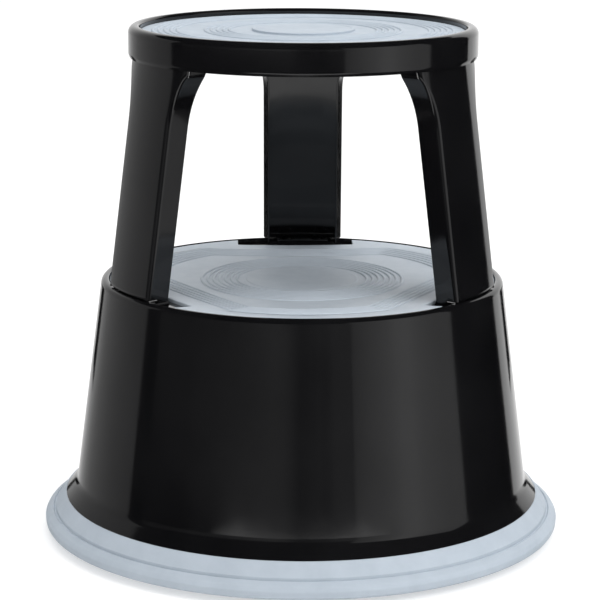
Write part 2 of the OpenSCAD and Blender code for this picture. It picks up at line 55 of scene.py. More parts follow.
# each mat lies on a film of glue this thick
GLUE = 0.00005
CAP_LOW, CAP_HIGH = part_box("top_step_cap")
CAP_R = CAP_HIGH.x
SKIRT_Z = CAP_LOW.z
TOP_Z = CAP_HIGH.z
CAP_MAT_LOW, CAP_MAT_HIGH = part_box("top_step_mat")
CAP_MAT_R = CAP_MAT_HIGH.x
CAP_SEAT_Z = CAP_MAT_LOW.z - GLUE
DRUM_LOW, DRUM_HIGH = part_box("drum_shell")
HEM_R = DRUM_HIGH.x
HEM_Z = DRUM_LOW.z
STEP_Z = DRUM_HIGH.z
PLATE_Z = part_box("lower_step_mat")[0].z - GLUE
RING_LOW, RING_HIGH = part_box("base_ring")
BASE_R = RING_HIGH.x
RING_Z = RING_LOW.z

LEG_TURNS = {"leg_back": 90, "leg_front_left": 210, "leg_front_right": 330}
CASTOR_TURNS = {"right": 30, "left": 150, "front": 270}

# ---------- sizes: sheet, legs, mats ----------

SHEET = 0.0012
LEG_SHEET = 0.0015
DRUM_TAPER = 0.13
CREASE_R = BASE_R - 0.0279
CREASE_Z = 0.0433
HEM_TOP_Z = 0.0289
SHOULDER_R = 0.005
LIP_W = 0.002
PLATE_RISE = 0.0031
PLATE_BAND = 0.057
PLATE_EDGE_Z = PLATE_Z + PLATE_RISE

MAT_T = 0.003
RIB_H = 0.0011
RIB_W = 0.0027
RIB_PITCH = 0.005

ARC_STEP = math.radians(9)
SEGMENTS = 288
EDGE_SEGMENTS = 2
EDGE_ANGLE = math.radians(40)


# ---------- outlines ----------

def rounded(corners, closed=False):
    """Line through corners of (r, z, radius), each corner rounded by an arc of its radius."""
    line = []
    for i, (r, z, radius) in enumerate(corners):
        here = Vector((r, z))
        if radius == 0 or (not closed and i in (0, len(corners) - 1)):
            line.append(here)
            continue
        before = (Vector(corners[i - 1][:2]) - here).normalized()
        after = (Vector(corners[(i + 1) % len(corners)][:2]) - here).normalized()
        half = before.angle(after) / 2
        centre = here + (before + after).normalized() * radius / math.sin(half)
        start = here + before * radius / math.tan(half) - centre
        turn = math.pi - 2 * half
        side = 1 if before.cross(after) < 0 else -1
        steps = max(2, math.ceil(turn / ARC_STEP))
        for k in range(steps + 1):
            line.append(centre + Matrix.Rotation(side * turn * k / steps, 2) @ start)
    return line


def beside(line, thick):
    """The line moved to its left by thick, mitred at its corners."""
    out = []
    for i, p in enumerate(line):
        ways = []
        if i > 0:
            ways.append((p - line[i - 1]).normalized())
        if i < len(line) - 1:
            ways.append((line[i + 1] - p).normalized())
        lefts = [Vector((-w.y, w.x)) for w in ways]
        middle = sum(lefts, Vector((0, 0))).normalized()
        out.append(p + middle * thick / max(middle.dot(lefts[0]), 0.3))
    return out


def sheet(line, thick):
    """Closed outline of a sheet whose face is the line."""
    return line + beside(line, thick)[::-1]


def ribs(r0, count, z):
    """Top line of count rounded tread ribs from radius r0 outward, on a surface at height z."""
    line = []
    for i in range(count):
        r = r0 + i * RIB_PITCH
        for share, rise in ((0, 0), (0.1, 0.55), (0.3, 1), (0.7, 1), (0.9, 0.55), (1, 0)):
            line.append(Vector((r + share * RIB_W, z + rise * RIB_H)))
    return line


# ---------- meshes ----------

def new_object(bm, name, sharp=math.radians(50)):
    """Object from bm, shaded smooth except along its sharp edges."""
    mesh = bpy.data.meshes.new(name)
    for face in bm.faces:
        face.smooth = True
    bm.to_mesh(mesh)
    bm.free()
    mesh.set_sharp_from_angle(angle=sharp)
    obj = bpy.data.objects.new(name, mesh)
    bpy.context.scene.collection.objects.link(obj)
    return obj


def flat_shading(obj):
    """Large faces keep their own direction, and the rounded edges carry the turn."""
    weigh = obj.modifiers.new("even_faces", "WEIGHTED_NORMAL")
    weigh.weight = 100
    weigh.keep_sharp = True


def soft_edges(obj, width):
    """A small rounding along the edges."""
    bevel = obj.modifiers.new("soft_edges", "BEVEL")
    bevel.width = width
    bevel.segments = EDGE_SEGMENTS
    bevel.limit_method = "ANGLE"
    bevel.angle_limit = EDGE_ANGLE
    bevel.harden_normals = False


def spin(bm, outline, segments=SEGMENTS, place=Matrix.Identity(4), shape=None):
    """Adds the solid that the closed outline of (r, z) sweeps round Z, moved to place."""
    rings = []
    for r, z in outline:
        if r < 1e-7:
            rings.append([bm.verts.new(place @ Vector((0, 0, z)))])
            continue
        ring = []
        for k in range(segments):
            a = 2 * math.pi * k / segments
            reach = r * (shape(a, r) if shape else 1)
            ring.append(bm.verts.new(place @ Vector((reach * math.cos(a), reach * math.sin(a), z))))
        rings.append(ring)
    made = []
    for one, two in zip(rings, rings[1:] + rings[:1]):
        for k in range(segments):
            n = (k + 1) % segments
            around = [one[k % len(one)], one[n % len(one)], two[n % len(two)], two[k % len(two)]]
            corners = list(dict.fromkeys(around))
            if len(corners) > 2:
                made.append(bm.faces.new(corners))
    bmesh.ops.recalc_face_normals(bm, faces=made)


def lathe(name, outline):
    """Object from the closed outline turned round Z."""
    bm = bmesh.new()
    spin(bm, outline)
    obj = new_object(bm, name)
    flat_shading(obj)
    return obj


# ---------- materials ----------

SURFACE_IOR = 1.5


def start_material(name, rough, metallic=0.0):
    """(material, shader, object coordinates) of a new material."""
    material = bpy.data.materials.new(name)
    material.use_nodes = True
    nodes = material.node_tree.nodes
    shader = nodes["Principled BSDF"]
    shader.inputs["Roughness"].default_value = rough
    shader.inputs["Metallic"].default_value = metallic
    shader.inputs["IOR"].default_value = SURFACE_IOR
    where = nodes.new("ShaderNodeTexCoord")
    return material, shader, where.outputs["Object"]


def noise(material, where, scale, detail=3.0, rough=0.55):
    texture = material.node_tree.nodes.new("ShaderNodeTexNoise")
    texture.inputs["Scale"].default_value = scale
    texture.inputs["Detail"].default_value = detail
    texture.inputs["Roughness"].default_value = rough
    material.node_tree.links.new(where, texture.inputs["Vector"])
    return texture.outputs["Fac"]


def ramp(material, source, stops):
    """Colour ramp of (place, colour) stops driven by source."""
    node = material.node_tree.nodes.new("ShaderNodeValToRGB")
    elements = node.color_ramp.elements
    while len(elements) < len(stops):
        elements.new(0.5)
    for element, (place, colour) in zip(elements, stops):
        element.position = place
        element.color = (*colour, 1)
    material.node_tree.links.new(source, node.inputs["Fac"])
    return node.outputs["Color"]


def spread(material, source, low, high):
    """source, from 0 to 1, spread between low and high."""
    node = material.node_tree.nodes.new("ShaderNodeMapRange")
    node.inputs["From Min"].default_value = 0.3
    node.inputs["From Max"].default_value = 0.7
    node.inputs["To Min"].default_value = low
    node.inputs["To Max"].default_value = high
    material.node_tree.links.new(source, node.inputs["Value"])
    return node.outputs["Result"]


def add_bump(material, shader, heights):
    """Bumps of (source, depth in metres), one on top of another."""
    normal = None
    for source, depth in heights:
        node = material.node_tree.nodes.new("ShaderNodeBump")
        node.inputs["Strength"].default_value = 1
        node.inputs["Distance"].default_value = depth
        material.node_tree.links.new(source, node.inputs["Height"])
        if normal:
            material.node_tree.links.new(normal, node.inputs["Normal"])
        normal = node.outputs["Normal"]
    material.node_tree.links.new(normal, shader.inputs["Normal"])


def enamel():
    """Black stove enamel: deep, glossy, with a faint orange peel and a slight cloudiness."""
    m, shader, where = start_material("black_enamel", 0.1)
    link = m.node_tree.links.new
    cloud = noise(m, where, 14, 2)
    link(ramp(m, cloud, ((0.3, (0.0035, 0.0035, 0.004)), (0.7, (0.006, 0.006, 0.0066)))),
         shader.inputs["Base Color"])
    link(spread(m, noise(m, where, 60, 4), 0.075, 0.115), shader.inputs["Roughness"])
    add_bump(m, shader, ((noise(m, where, 420, 1), 0.0000035),))
    return m


def rubber(name, dark, light, rough, grain):
    """Matt moulded rubber: fine grain, faint mottling and pale bloom."""
    m, shader, where = start_material(name, rough)
    link = m.node_tree.links.new
    mottle = noise(m, where, 38, 5, 0.62)
    middle = [(a + b) / 2 for a, b in zip(dark, light)]
    link(ramp(m, mottle, ((0.28, dark), (0.5, middle), (0.74, light))), shader.inputs["Base Color"])
    link(spread(m, noise(m, where, 90, 3), rough - 0.07, rough + 0.07), shader.inputs["Roughness"])
    add_bump(m, shader, ((noise(m, where, 1500, 2), grain), (noise(m, where, 260, 3), grain * 1.6)))
    return m


def zinc(name, dark, middle, light):
    """Zinc plated steel with the plating's faint patches of colour and a rolled grain."""
    m, shader, where = start_material(name, 0.34, metallic=1.0)
    link = m.node_tree.links.new
    link(ramp(m, noise(m, where, 55, 4), ((0.3, dark), (0.5, middle), (0.7, light))),
         shader.inputs["Base Color"])
    link(spread(m, noise(m, where, 180, 4), 0.26, 0.44), shader.inputs["Roughness"])
    add_bump(m, shader, ((noise(m, where, 900, 3), 0.000012),))
    return m


def nylon(name, dark, light, rough):
    """Moulded nylon with a fine sparkle of texture."""
    m, shader, where = start_material(name, rough)
    link = m.node_tree.links.new
    link(ramp(m, noise(m, where, 70, 3), ((0.3, dark), (0.7, light))), shader.inputs["Base Color"])
    link(spread(m, noise(m, where, 240, 2), rough - 0.06, rough + 0.06), shader.inputs["Roughness"])
    add_bump(m, shader, ((noise(m, where, 1300, 2), 0.000015),))
    return m


GRAIN = 0.00002
BLACK = enamel()
GREY = rubber("grey_blue_rubber", (0.405, 0.462, 0.525), (0.465, 0.525, 0.590), 0.5, GRAIN)
# The lower step's mat is the same grey-blue rubber as the top mat and foot ring, painted lighter to make
# up for the shade that the top step casts on it.
STEP_GREY_PAINTED_LIGHTER = rubber("step_rubber_painted_lighter", (0.50, 0.56, 0.625), (0.565, 0.625, 0.69), 0.5, GRAIN)
TYRE = rubber("tyre_rubber", (0.17, 0.18, 0.19), (0.22, 0.23, 0.24), 0.6, GRAIN)
ZINC = zinc("zinc_plate", (0.50, 0.49, 0.46), (0.60, 0.60, 0.59), (0.66, 0.68, 0.71))
BLACK_ZINC = zinc(
    "black_zinc_plate", (0.018, 0.018, 0.018), (0.03, 0.03, 0.03), (0.045, 0.045, 0.05))
NATURAL = nylon("natural_nylon", (0.66, 0.64, 0.57), (0.74, 0.72, 0.66), 0.42)
DARK = nylon("dark_nylon", (0.018, 0.018, 0.02), (0.035, 0.035, 0.037), 0.45)


def dress(obj, material, body, *nodes):
    """Gives a piece its material and its body, and has it stand for those CAD nodes."""
    obj.data.materials.clear()
    obj.data.materials.append(material)
    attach(obj, body)
    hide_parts(*nodes)


# ---------- top step ----------

SKIRT_CURL_W = 0.0010
SKIRT_CURL_H = 0.0028
SKIRT_CURL_R = 0.0055
RIM_OUTER_R = 0.006
RIM_INNER_R = 0.0025
SEAT_CORNER_R = 0.0008
CAP_MAT_GAP = 0.0002


def make_cap():
    """Rolled rim, skirt with a curled lower edge, and the recessed plate under the mat."""
    seat_r = CAP_MAT_R + CAP_MAT_GAP
    line = rounded([
        (CAP_R - SKIRT_CURL_W, SKIRT_Z, 0),
        (CAP_R, SKIRT_Z + SKIRT_CURL_H, SKIRT_CURL_R),
        (CAP_R, TOP_Z, RIM_OUTER_R),
        (seat_r, TOP_Z, RIM_INNER_R),
        (seat_r, CAP_SEAT_Z, SEAT_CORNER_R),
        (0, CAP_SEAT_Z, 0),
    ])
    dress(lathe("top_step_pressing", sheet(line, SHEET)), BLACK, "root", "top_step_cap")


CAP_DISC_R = 0.0426
CAP_PLAIN_W = 0.0175
CAP_BORDER_W = 0.032
CAP_RIBS = 5


def make_cap_mat():
    """Flat ribbed disc with a raised roundel, whose rim stands a little above its middle."""
    top = CAP_SEAT_Z + MAT_T
    disc_top = CAP_MAT_HIGH.z
    rim_w = 0.0022
    upper = rounded([
        (0, disc_top - 0.0004, 0),
        (CAP_DISC_R - rim_w - 0.0006, disc_top - 0.0004, 0.0003),
        (CAP_DISC_R - rim_w, disc_top, 0.0004),
        (CAP_DISC_R, disc_top, 0.0007),
        (CAP_DISC_R, top, 0.0005),
        (CAP_DISC_R + 0.004, top, 0),
    ])
    upper += ribs(CAP_DISC_R + CAP_PLAIN_W, CAP_RIBS, top)
    upper += ribs(CAP_MAT_R - CAP_BORDER_W, CAP_RIBS, top)
    edge = rounded([
        (CAP_MAT_R - 0.004, top, 0),
        (CAP_MAT_R, top, 0.0009),
        (CAP_MAT_R, CAP_MAT_LOW.z, 0),
        (0, CAP_MAT_LOW.z, 0),
    ])
    dress(lathe("top_step_tread", upper + edge), GREY, "root", "top_step_mat")


# ---------- legs ----------

FOLD_R = 0.004
BEND_R = 0.0036
LEG_SETBACK = 0.0018
LEG_W = 0.072
LEG_DEPTH = 0.0215
FLARE_W = 0.0125
FLARE_R = 0.08
TAB_L = 0.02
CAP_UNDER_Z = CAP_SEAT_Z - SHEET
FLARE_TOP_Z = SKIRT_Z - 0.005
FLARE_Z = FLARE_TOP_Z - math.sqrt(FLARE_R ** 2 - (FLARE_R - FLARE_W) ** 2)
FLARE_EASE = 0.006
FOLD_STEPS = 8
FLANGE_FOOT_Z = STEP_Z - 0.0016

SLIT_W = 0.0011
SLIT_BACK = 0.0007
SLIT_Z = SKIRT_Z - 0.0058


def drum_wall_r(z):
    return CREASE_R - DRUM_TAPER * (z - CREASE_Z)


LEG_TOP_R = CAP_R - SHEET - 0.001
LEG_FOOT_R = drum_wall_r(STEP_Z) - LEG_SETBACK
LEG_SLOPE = (LEG_FOOT_R - LEG_TOP_R) / (SKIRT_Z - STEP_Z)
LEG_LEAN = math.atan(LEG_SLOPE)
FLANGE_TURN = math.asin(LEG_W / (LEG_FOOT_R + LEG_TOP_R))


def leg_face_r(z):
    return LEG_TOP_R + LEG_SLOPE * (SKIRT_Z - z)


def leg_half_w(z):
    """Half the leg's width: straight, then curving out, then easing to upright under the cap."""
    if z <= FLARE_Z:
        return LEG_W / 2
    ease_z = FLARE_TOP_Z - FLARE_EASE / 2
    bent = min(z, ease_z) - FLARE_Z
    width = LEG_W / 2 + FLARE_R - math.sqrt(FLARE_R ** 2 - bent ** 2)
    if z > ease_z:
        slope = bent / math.sqrt(FLARE_R ** 2 - bent ** 2)
        run = min(z - ease_z, FLARE_EASE)
        width += slope * (run - run ** 2 / (2 * FLARE_EASE))
    return width


FLANGE_SHARES = (0, 0.33, 0.66)
BEND_STEPS = 7
FACE_STEPS = 20


def leg_section(z):
    """Points across a leg at height z, from one flange's inner edge round to the other's."""
    r, w = leg_face_r(z), leg_half_w(z)
    edge = w * math.cos(FLANGE_TURN) - math.sqrt(r * r - w * w) * math.sin(FLANGE_TURN)
    bend_x = math.sqrt((r - BEND_R) ** 2 - (edge - BEND_R) ** 2)
    end_x = math.sqrt((r - LEG_DEPTH) ** 2 - edge ** 2)
    slit_in = bend_x - SLIT_BACK - SLIT_W
    half = [Vector((end_x + (slit_in - end_x) * s, edge)) for s in FLANGE_SHARES]
    half += [Vector((slit_in, edge)), Vector((bend_x - SLIT_BACK, edge)), Vector((bend_x, edge))]
    face_turn = math.atan2(edge - BEND_R, bend_x)
    for k in range(1, BEND_STEPS + 1):
        a = math.pi / 2 + (face_turn - math.pi / 2) * k / BEND_STEPS
        half.append(Vector((bend_x + BEND_R * math.cos(a), edge - BEND_R + BEND_R * math.sin(a))))
    half = [Matrix.Rotation(FLANGE_TURN, 2) @ p for p in half]
    start = FLANGE_TURN + face_turn
    middle = []
    for k in range(1, FACE_STEPS):
        a = start * (1 - 2 * k / FACE_STEPS)
        middle.append(Vector((r * math.cos(a), r * math.sin(a))))
    return half + middle + [Vector((p.x, -p.y)) for p in reversed(half)]


BEND_AT = len(FLANGE_SHARES) + 2
FACE_AT = BEND_AT + BEND_STEPS
LAST = 2 * FACE_AT + FACE_STEPS
SLIT_AT = BEND_AT - 2


def leg_row(bm, skin, z):
    """A row of points across the leg at height z, on its outer skin and its inner one."""
    outer = leg_section(z)
    row = []
    for p, q in zip(outer, beside(outer, -LEG_SHEET * math.cos(LEG_LEAN))):
        v = bm.verts.new((p.x, p.y, z))
        skin[v] = Vector((q.x, q.y, z - LEG_SHEET * math.sin(LEG_LEAN)))
        row.append(v)
    return row


def fold(bm, skin, row, z, way, keep):
    """Folds the face's edge row inward round an arc and on into a tab, keep columns narrower."""
    columns = list(range(FACE_AT, LAST - FACE_AT + 1))
    here = {c: row[c] for c in columns}
    bend_r = leg_face_r(z) - FOLD_R * math.cos(LEG_LEAN)
    bend_z = z - FOLD_R * math.sin(LEG_LEAN)
    inner_r = FOLD_R - LEG_SHEET
    rows = []
    for k in range(1, FOLD_STEPS + 1):
        a = LEG_LEAN + (way * math.pi / 2 - LEG_LEAN) * k / FOLD_STEPS
        c, n = math.cos(a), math.sin(a)
        outer = (bend_r + FOLD_R * c, bend_z + FOLD_R * n)
        inner = (bend_r + inner_r * c, bend_z + inner_r * n)
        rows.append((*outer, *inner, columns))
    for share in (0.5, 1):
        r = bend_r - share * (TAB_L - FOLD_R)
        rows.append((r, bend_z + way * FOLD_R, r, bend_z + way * inner_r, columns[keep:-keep]))
    for r, height, in_r, in_height, span in rows:
        new = {}
        for c in span:
            flat = Vector((row[c].co.x, row[c].co.y)).normalized()
            new[c] = bm.verts.new((flat.x * r, flat.y * r, height))
            skin[new[c]] = Vector((flat.x * in_r, flat.y * in_r, in_height))
        for c in span[:-1]:
            around = [here[c], here[c + 1], new[c + 1], new[c]]
            bm.faces.new(around if way > 0 else around[::-1])
        here = new


def close_skin(bm, skin):
    """Adds the inner skin behind the outer one, and the narrow walls along every free edge."""
    faces = list(bm.faces)
    rim = [e for e in bm.edges if e.is_boundary]
    inner = {v: bm.verts.new(skin[v]) for v in bm.verts if v in skin}
    for face in faces:
        bm.faces.new([inner[v] for v in reversed(face.verts)])
    for edge in rim:
        a, b = edge.verts
        bm.faces.new([a, b, inner[b], inner[a]])
    bmesh.ops.recalc_face_normals(bm, faces=bm.faces)


def make_leg(name, turn):
    """One pressed channel: bent flanges that flare under the cap, folded tabs and relief slits."""
    bottom = STEP_Z + FOLD_R * (1 + math.sin(LEG_LEAN))
    top = CAP_UNDER_Z - FOLD_R * (1 - math.sin(LEG_LEAN))
    flange_foot = [FLANGE_FOOT_Z, STEP_Z + 0.0012]
    straight = [bottom + (FLARE_Z - bottom) * k / 6 for k in range(6)]
    flare = [FLARE_Z + (SLIT_Z - FLARE_Z) * k / 16 for k in range(17)]
    head = [SLIT_Z + 0.0022, SLIT_Z + 0.0045, SKIRT_Z + 0.002, top]
    heights = flange_foot + straight + flare + head
    bm = bmesh.new()
    skin = {}
    rows = [leg_row(bm, skin, z) for z in heights]
    for i, (one, two) in enumerate(zip(rows, rows[1:])):
        for c in range(LAST):
            side = min(c, LAST - 1 - c)
            under_face = i < len(flange_foot) and side >= FACE_AT
            under_bend = i == 0 and side >= SLIT_AT - 1
            slit = heights[i] >= SLIT_Z - 1e-9 and side == SLIT_AT
            if not (under_face or under_bend or slit):
                bm.faces.new([one[c], two[c], two[c + 1], one[c + 1]])
    fold(bm, skin, rows[len(flange_foot)], bottom, -1, 2)
    fold(bm, skin, rows[-1], top, 1, 4)
    bmesh.ops.delete(bm, geom=[v for v in bm.verts if not v.link_faces], context="VERTS")
    close_skin(bm, {v: p for v, p in skin.items() if v.is_valid})
    bm.transform(Matrix.Rotation(math.radians(turn), 4, "Z"))
    obj = new_object(bm, name + "_channel", sharp=math.radians(60))
    soft_edges(obj, 0.0003)
    flat_shading(obj)
    dress(obj, BLACK, "root", name)


# ---------- drum ----------

CREST_R = drum_wall_r(STEP_Z - SHOULDER_R + SHOULDER_R * math.sin(math.atan(DRUM_TAPER)))
CREST_R -= SHOULDER_R * math.cos(math.atan(DRUM_TAPER))
LIP_R = CREST_R - LIP_W
PLATE_FLAT_R = LIP_R - PLATE_BAND
FOOT_TAB_W = LEG_W - 0.012
HEM_BEND_R = 0.006
CREASE_BEND_R = 0.012
LIP_BEND_R = 0.0017
PLATE_CORNER_R = 0.0006
PLATE_BEND_R = 0.02


def plate_top(r):
    return PLATE_Z + max(0, r - PLATE_FLAT_R) * PLATE_RISE / PLATE_BAND


def make_seat(bm, turn):
    """A raised pressing in the drum's plate, on which a leg's foot rests."""
    half = (FOOT_TAB_W / 2 + 0.002) / (LEG_FOOT_R - 0.005)
    low_r, high_r = LEG_FOOT_R - TAB_L - 0.003, LIP_R + 0.0004
    slope = 0.0024
    shares = (0, 0.12, 0.3, 0.5, 0.7, 0.88, 1)
    radii = [low_r - slope * (1 - s) for s in shares] + [low_r + 0.01, high_r]
    spread_a = slope / low_r
    turns = [-half - spread_a * (1 - s) for s in shares]
    turns += [half * k / 8 for k in range(-7, 8)] + [-a for a in reversed(turns)]
    tops, lows = [], []
    for a in turns:
        near = min(1, (half + spread_a - abs(a)) / spread_a)
        top_row, low_row = [], []
        for r in radii:
            rise = min(1, (r - low_r + slope) / slope) * near
            rise = rise * rise * (3 - 2 * rise)
            z = plate_top(r) - 0.0003
            c, n = math.cos(a + math.radians(turn)), math.sin(a + math.radians(turn))
            top_row.append(bm.verts.new((r * c, r * n, z + (STEP_Z - 0.00003 - z) * rise)))
            low_row.append(bm.verts.new((r * c, r * n, z - 0.0005)))
        tops.append(top_row)
        lows.append(low_row)
    faces = []
    for grid in (tops, lows):
        for one, two in zip(grid, grid[1:]):
            for a, b, c, d in zip(one, one[1:], two[1:], two):
                faces.append(bm.faces.new([a, b, c, d]))
    across = [(tops[0], lows[0]), (tops[-1], lows[-1])]
    across += [([row[e] for row in tops], [row[e] for row in lows]) for e in (0, -1)]
    for top, low in across:
        for a, b, c, d in zip(top, top[1:], low[1:], low):
            faces.append(bm.faces.new([a, b, c, d]))
    bmesh.ops.recalc_face_normals(bm, faces=faces)


def make_drum():
    """Tapered wall with a flared foot, rounded shoulder, lip, and dished plate under the mat."""
    line = rounded([
        (HEM_R, HEM_Z, 0),
        (HEM_R, HEM_TOP_Z, HEM_BEND_R),
        (CREASE_R, CREASE_Z, CREASE_BEND_R),
        (drum_wall_r(STEP_Z + 0.00001), STEP_Z, SHOULDER_R),
        (LIP_R, STEP_Z, LIP_BEND_R),
        (LIP_R, PLATE_EDGE_Z, PLATE_CORNER_R),
        (PLATE_FLAT_R, PLATE_Z, PLATE_BEND_R),
        (0, PLATE_Z, 0),
    ])
    bm = bmesh.new()
    spin(bm, sheet(line, SHEET))
    for turn in LEG_TURNS.values():
        make_seat(bm, turn)
    obj = new_object(bm, "drum_pressing")
    flat_shading(obj)
    dress(obj, BLACK, "root", "drum_shell")


# ---------- lower mat ----------

STEP_DISC_R = 0.0475
STEP_PLAIN_W = 0.006
STEP_RINGS = 7
BORDER_RIBS = 5
BORDER_W = 0.018
NOTCH_W = 0.104
NOTCH_DEPTH = 0.026
MAT_TURN = math.radians(2.5)
MAT_R = LIP_R - 0.0008
CHORD_X = LIP_R - NOTCH_DEPTH
NOTCH_TURN = math.atan2(NOTCH_W / 2, CHORD_X)
NOTCH_CORNER_R = math.hypot(CHORD_X, NOTCH_W / 2)
NOTCH_OUT_TURN = math.asin(NOTCH_W / 2 / MAT_R)
EDGE_ROUND = 0.0008


def band_r(a, inset):
    """Radius of the outline drawn in by inset, at angle a from the nearest leg."""
    chord = (CHORD_X - inset) / math.cos(a)
    return min(MAT_R - inset, chord)


def mat_rows(a):
    """(radius, height above the mat's face) of each row of its top, at angle a from a leg."""
    rise = PLATE_Z + MAT_T
    disc = 0.0006
    rows = [
        (STEP_DISC_R - 0.0030, disc - 0.0003),
        (STEP_DISC_R - 0.0024, disc),
        (STEP_DISC_R - 0.0005, disc),
        (STEP_DISC_R, disc * 0.5),
        (STEP_DISC_R + 0.0003, 0),
    ]
    rows += [(p.x, p.y - rise) for p in ribs(STEP_DISC_R + STEP_PLAIN_W, STEP_RINGS, rise)]
    inner = band_r(a, BORDER_W + (BORDER_RIBS - 1) * RIB_PITCH + RIB_W)
    rows += [((inner + rows[-1][0]) / 2, 0)]
    start = BORDER_W + BORDER_RIBS * RIB_PITCH
    line = ribs(0, BORDER_RIBS, 0)
    for p in line:
        rows.append((band_r(a, start - (RIB_PITCH - RIB_W) - p.x), p.y))
    rows.append((band_r(a, BORDER_W * 0.75), 0))
    edge = CHORD_X / math.cos(a) if a < NOTCH_TURN else NOTCH_CORNER_R
    last = rows[-1][0]
    rows += [(last + (edge - last) * share, 0) for share in (0.35, 0.7)]
    rows.append((edge - EDGE_ROUND, 0))
    rows.append((edge, -EDGE_ROUND * (a < NOTCH_TURN)))
    return rows


def mat_turns():
    """Angles from a leg's middle, from 0 to 60 degrees, with the notch's corner among them."""
    third = math.radians(60)
    notch = [NOTCH_TURN * k / 14 for k in range(15)]
    rest = [NOTCH_TURN + 1e-6 + (third - NOTCH_TURN) * k / 26 for k in range(1, 27)]
    return notch, rest


def make_step_mat():
    """Ribbed tread on the dished plate, with a straight-sided cut-out at each leg."""
    notch, rest = mat_turns()
    half = notch + rest
    turns = [(-a, a) for a in reversed(half[1:])] + [(a, a) for a in half[:-1]]
    columns = []
    for leg in range(3):
        columns += [(math.radians(90 + 120 * leg) + turn, a) for turn, a in turns]
    bm = bmesh.new()

    def put(r, rise, turn):
        turn += MAT_TURN
        return bm.verts.new((r * math.cos(turn), r * math.sin(turn), plate_top(r) + MAT_T + rise))

    centre = bm.verts.new((0, 0, PLATE_Z + MAT_T + 0.0003))
    grid = [[put(r, rise, turn) for r, rise in mat_rows(a)] for turn, a in columns]
    count = len(columns)
    for i in range(count):
        one, two = grid[i], grid[(i + 1) % count]
        bm.faces.new([centre, one[0], two[0]])
        for a, b, c, d in zip(one, one[1:], two[1:], two):
            bm.faces.new([a, b, c, d])
    # the stretch between the cut-outs, out to the lip
    corner = NOTCH_TURN - 1e-4
    outer = [i for i, (_, a) in enumerate(columns) if a > corner]
    skew = NOTCH_TURN - NOTCH_OUT_TURN
    third = math.radians(60)
    strips = {}
    for i in outer:
        turn, a = columns[i]
        back, apart = math.radians(90), math.radians(120)
        leg = back + apart * round((turn - back) / apart)
        way = 1 if turn > leg else -1
        share = (third - a) / (third - NOTCH_TURN)
        line = [grid[i][-1]]
        for out in (0.35, 0.7, 0.97, 1):
            r = NOTCH_CORNER_R + (MAT_R - NOTCH_CORNER_R) * out
            rise = -EDGE_ROUND if out == 1 else 0
            line.append(put(r, rise, turn - way * skew * share * out))
        strips[i] = line
    for i in outer:
        j = (i + 1) % count
        if j in strips:
            for a, b, c, d in zip(strips[i], strips[i][1:], strips[j][1:], strips[j]):
                bm.faces.new([a, b, c, d])
    # sides and underside
    rim = [e for e in bm.edges if e.is_boundary]
    made = bmesh.ops.extrude_edge_only(bm, edges=rim)["geom"]
    low = [v for v in made if isinstance(v, bmesh.types.BMVert)]
    for v in low:
        v.co.z = plate_top(math.hypot(v.co.x, v.co.y)) + GLUE
    bmesh.ops.recalc_face_normals(bm, faces=bm.faces)
    if centre.link_faces[0].normal.z < 0:
        bmesh.ops.reverse_faces(bm, faces=bm.faces)
    obj = new_object(bm, "lower_step_tread")
    flat_shading(obj)
    # the lower mat's rubber is painted lighter, to offset the top step's shade on it
    dress(obj, STEP_GREY_PAINTED_LIGHTER, "root", "lower_step_mat")


# ---------- foot ring ----------

def make_ring():
    """Rubber ring: a lip against the drum, a fine groove, and a rolled outer edge."""
    line = rounded([
        (BASE_R - 0.0190, RING_HIGH.z - 0.0001, 0.0003),
        (BASE_R - 0.0174, RING_HIGH.z - 0.0002, 0.0006),
        (BASE_R - 0.0092, RING_Z + 0.0157, 0.0006),
        (BASE_R - 0.0088, RING_Z + 0.0130, 0.0005),
        (BASE_R - 0.0074, RING_Z + 0.0128, 0.0005),
        (BASE_R - 0.0069, RING_Z + 0.0139, 0.0008),
        (BASE_R - 0.0020, RING_Z + 0.0106, 0.004),
        (BASE_R, RING_Z + 0.0070, 0.0035),
        (BASE_R - 0.0005, RING_Z, 0.0035),
        (BASE_R - 0.0232, RING_Z, 0.0025),
        (BASE_R - 0.0227, RING_Z + 0.0190, 0.0015),
    ], closed=True)
    dress(lathe("foot_ring", line), GREY, "root", "base_ring")


# ---------- fasteners ----------

BOLT_R = 0.003


def make_foot_screws():
    """Six button-headed screws with hexagon sockets, two through each leg's foot."""
    radius = LEG_FOOT_R - TAB_L * 0.7
    side = LEG_W / 4 - 0.004
    seat = STEP_Z + LEG_SHEET
    socket_r, head_r, head_h = 0.0019, 0.0053, 0.0022

    def hexagon(a, r):
        if r > socket_r + 1e-6:
            return 1
        return math.cos(math.pi / 6) / math.cos((a % (math.pi / 3)) - math.pi / 6)

    head = rounded([
        (0, seat + 0.0007, 0),
        (socket_r, seat + 0.0007, 0),
        (socket_r, seat + head_h, 0),
        (socket_r + 0.0003, seat + head_h, 0),
        (0.0042, seat + head_h - 0.0002, 0.0018),
        (head_r, seat + 0.0003, 0.0006),
        (head_r, seat, 0),
        (BOLT_R, seat, 0),
    ])
    pitch, length = 0.001, LEG_SHEET + SHEET + 0.008
    thread = []
    for k in range(int(length / pitch)):
        z = seat - pitch * k
        thread += [Vector((BOLT_R, z - pitch * 0.2)), Vector((BOLT_R - 0.0004, z - pitch * 0.7))]
    tip = [Vector((BOLT_R - 0.0008, seat - length)), Vector((0, seat - length))]
    bm = bmesh.new()
    for turn in LEG_TURNS.values():
        for way in (-1, 1):
            out = Matrix.Translation((radius, way * side, 0))
            place = Matrix.Rotation(math.radians(turn), 4, "Z") @ out
            spin(bm, head + thread + tip, 36, place, hexagon)
    obj = new_object(bm, "foot_screw_set", sharp=math.radians(45))
    dress(obj, BLACK_ZINC, "root", "foot_screws")


# ---------- castors ----------

